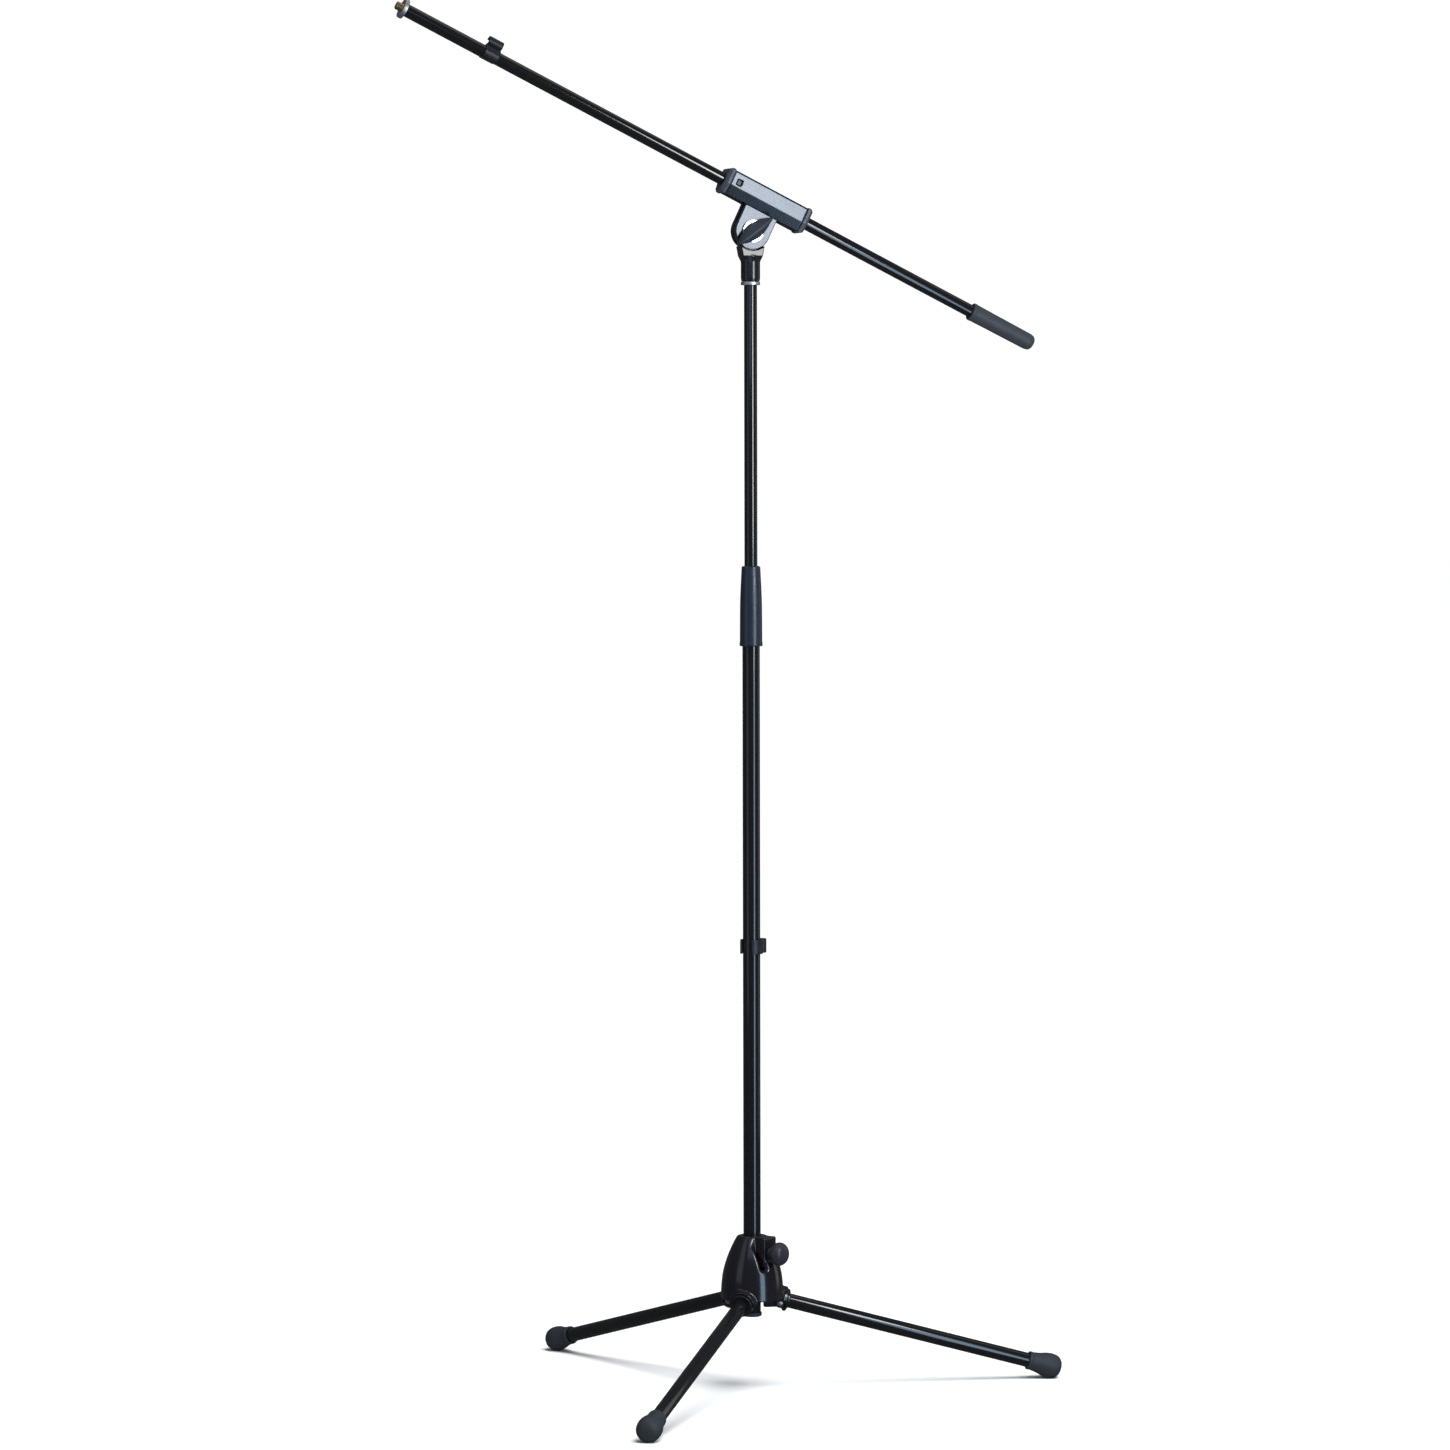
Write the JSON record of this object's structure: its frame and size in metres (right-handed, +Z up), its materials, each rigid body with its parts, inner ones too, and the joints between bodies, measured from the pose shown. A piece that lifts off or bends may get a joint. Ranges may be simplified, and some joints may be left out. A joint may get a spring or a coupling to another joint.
{
  "type": "boom microphone stand",
  "caption": "Folding tripod microphone stand with a telescopic column, twist clutch, and a boom arm held in a tilting clamp with a wing screw.",
  "frame": {"origin": "on the floor under the middle of the whole stand's box", "axes": "+Z up along the column, -Y towards the viewer, the boom's microphone end towards -X"},
  "size_m": [0.7202, 0.5994, 1.5073],
  "materials": {
    "base_casting": "gloss black enamel on a die casting",
    "base_knob": "fine moulded grain",
    "base_pad": "turned",
    "base_screw": "zinc plated",
    "boom_clip": "moulded",
    "boom_grip": "matte",
    "boom_insert": "zinc plated",
    "boom_socket": "gloss black enamel on a die casting",
    "boom_stud": "turned thread",
    "boom_tube": "gloss black enamel on steel tube",
    "clamp_bush_tail": "moulded",
    "clamp_bush_tip": "moulded",
    "clamp_housing": "satin dark grey on a die casting",
    "clamp_nut": "zinc plated",
    "clutch_body": "turned",
    "clutch_collet": "moulded",
    "column_clip": "moulded",
    "column_end_plug": "moulded",
    "column_insert": "zinc plated",
    "column_stud": "turned thread",
    "extension_tube": "gloss black enamel on steel tube",
    "guide_bush": "moulded",
    "leg_bolt_front": "zinc plated",
    "leg_bolt_left": "zinc plated",
    "leg_bolt_right": "zinc plated",
    "leg_bracket_front": "black enamel on a die casting",
    "leg_bracket_left": "black enamel on a die casting",
    "leg_bracket_right": "black enamel on a die casting",
    "leg_foot_front": "matte",
    "leg_foot_left": "matte",
    "leg_foot_right": "matte",
    "leg_nut_front": "zinc plated",
    "leg_nut_left": "zinc plated",
    "leg_nut_right": "zinc plated",
    "leg_tube_front": "gloss black enamel on steel tube",
    "leg_tube_left": "gloss black enamel on steel tube",
    "leg_tube_right": "gloss black enamel on steel tube",
    "lower_tube": "gloss black enamel on steel tube",
    "twist_grip": "soft satin",
    "wing_knob": "moulded",
    "wing_screw": "zinc plated",
    "wing_washer": "polished"
  },
  "bodies": {
    "base": {"base_casting": "base_casting", "leg_bolt_left": "leg_bolt_left", "leg_bolt_front": "leg_bolt_front", "leg_bolt_right": "leg_bolt_right", "leg_nut_left": "leg_nut_left", "leg_nut_front": "leg_nut_front", "leg_nut_right": "leg_nut_right"},
    "base_pad": {"base_pad": "base_pad"},
    "base_knob": {"base_screw": "base_screw", "base_knob": "base_knob"},
    "lower_column": {"lower_tube": "lower_tube", "column_end_plug": "column_end_plug", "clutch_body": "clutch_body"},
    "column_clip": {"column_clip": "column_clip"},
    "collet": {"clutch_collet": "clutch_collet"},
    "twist_grip": {"twist_grip": "twist_grip"},
    "guide_bush": {"guide_bush": "guide_bush"},
    "extension": {"extension_tube": "extension_tube", "column_insert": "column_insert", "column_stud": "column_stud", "boom_socket": "boom_socket"},
    "boom_clamp": {"clamp_housing": "clamp_housing", "clamp_bush_tip": "clamp_bush_tip", "clamp_bush_tail": "clamp_bush_tail", "clamp_nut": "clamp_nut"},
    "wing_washer": {"wing_washer": "wing_washer"},
    "wing": {"wing_knob": "wing_knob", "wing_screw": "wing_screw"},
    "boom": {"boom_tube": "boom_tube", "boom_insert": "boom_insert", "boom_stud": "boom_stud", "boom_grip": "boom_grip"},
    "boom_clip": {"boom_clip": "boom_clip"},
    "leg_left": {"leg_tube_left": "leg_tube_left", "leg_bracket_left": "leg_bracket_left", "leg_foot_left": "leg_foot_left"},
    "leg_front": {"leg_tube_front": "leg_tube_front", "leg_bracket_front": "leg_bracket_front", "leg_foot_front": "leg_foot_front"},
    "leg_right": {"leg_tube_right": "leg_tube_right", "leg_bracket_right": "leg_bracket_right", "leg_foot_right": "leg_foot_right"}
  },
  "joints": [
    {"name": "base_pad_travel", "type": "slide", "parent": "base", "child": "base_pad", "axis": [0.788, -0.6157, 0], "range_m": [0, 0.00125]},
    {"name": "base_knob_turn", "type": "hinge", "parent": "base_pad", "child": "base_knob", "pos_m": [0.0166, 0.0331, 0.1517], "axis": [0.788, -0.6157, 0], "range_deg": [0, 360]},
    {"name": "leg_left_fold", "type": "hinge", "parent": "base", "child": "leg_left", "pos_m": [-0.00324, 0.0556, 0.095], "axis": [-0.7501, -0.6613, 0], "range_deg": [0, 74]},
    {"name": "leg_front_fold", "type": "hinge", "parent": "base", "child": "leg_front", "pos_m": [0.00703, 0.00467, 0.095], "axis": [0.9478, -0.319, 0], "range_deg": [0, 74]},
    {"name": "leg_right_fold", "type": "hinge", "parent": "base", "child": "leg_right", "pos_m": [0.04601, 0.03903, 0.095], "axis": [-0.1977, 0.9803, 0], "range_deg": [0, 74]},
    {"name": "column_slide", "type": "slide", "parent": "base", "child": "lower_column", "axis": [0, 0, 1], "range_m": [-0.28, 0]},
    {"name": "column_clip_slide", "type": "slide", "parent": "lower_column", "child": "column_clip", "axis": [0, 0, 1], "range_m": [0, 0.3]},
    {"name": "collet_travel", "type": "slide", "parent": "lower_column", "child": "collet", "axis": [0, 0, 1], "range_m": [0, 0.001]},
    {"name": "twist_grip_turn", "type": "hinge", "parent": "collet", "child": "twist_grip", "pos_m": [0.0166, 0.0331, 0.86], "axis": [0, 0, 1], "range_deg": [0, 180]},
    {"name": "extension_slide", "type": "slide", "parent": "lower_column", "child": "guide_bush", "axis": [0, 0, 1], "range_m": [-0.3, 0.4]},
    {"name": "extension_turn", "type": "hinge", "parent": "guide_bush", "child": "extension", "pos_m": [0.0166, 0.0331, 0.43], "axis": [0, 0, 1], "continuous": true},
    {"name": "boom_tilt", "type": "hinge", "parent": "extension", "child": "boom_clamp", "pos_m": [0.0166, 0.0331, 1.2658], "axis": [0.3502, -0.9367, 0], "range_deg": [-36, 87.8]},
    {"name": "washer_travel", "type": "slide", "parent": "boom_clamp", "child": "wing_washer", "axis": [0.3502, -0.9367, 0], "range_m": [0, 0.001]},
    {"name": "wing_turn", "type": "hinge", "parent": "wing_washer", "child": "wing", "pos_m": [0.0166, 0.0331, 1.2658], "axis": [0.3502, -0.9367, 0], "range_deg": [0, 360]},
    {"name": "boom_slide", "type": "slide", "parent": "boom_clamp", "child": "boom", "axis": [-0.8426, -0.315, 0.4368], "range_m": [-0.28, 0.205]},
    {"name": "boom_clip_slide", "type": "slide", "parent": "boom", "child": "boom_clip", "axis": [-0.8426, -0.315, 0.4368], "range_m": [0, 0.09]}
  ],
  "couplings": [
    {"joint": "base_knob_turn", "follows": "base_pad_travel", "rad_per_m": 5026.5},
    {"joint": "twist_grip_turn", "follows": "collet_travel", "rad_per_m": 3141.6},
    {"joint": "wing_turn", "follows": "washer_travel", "rad_per_m": 6283.2}
  ]
}
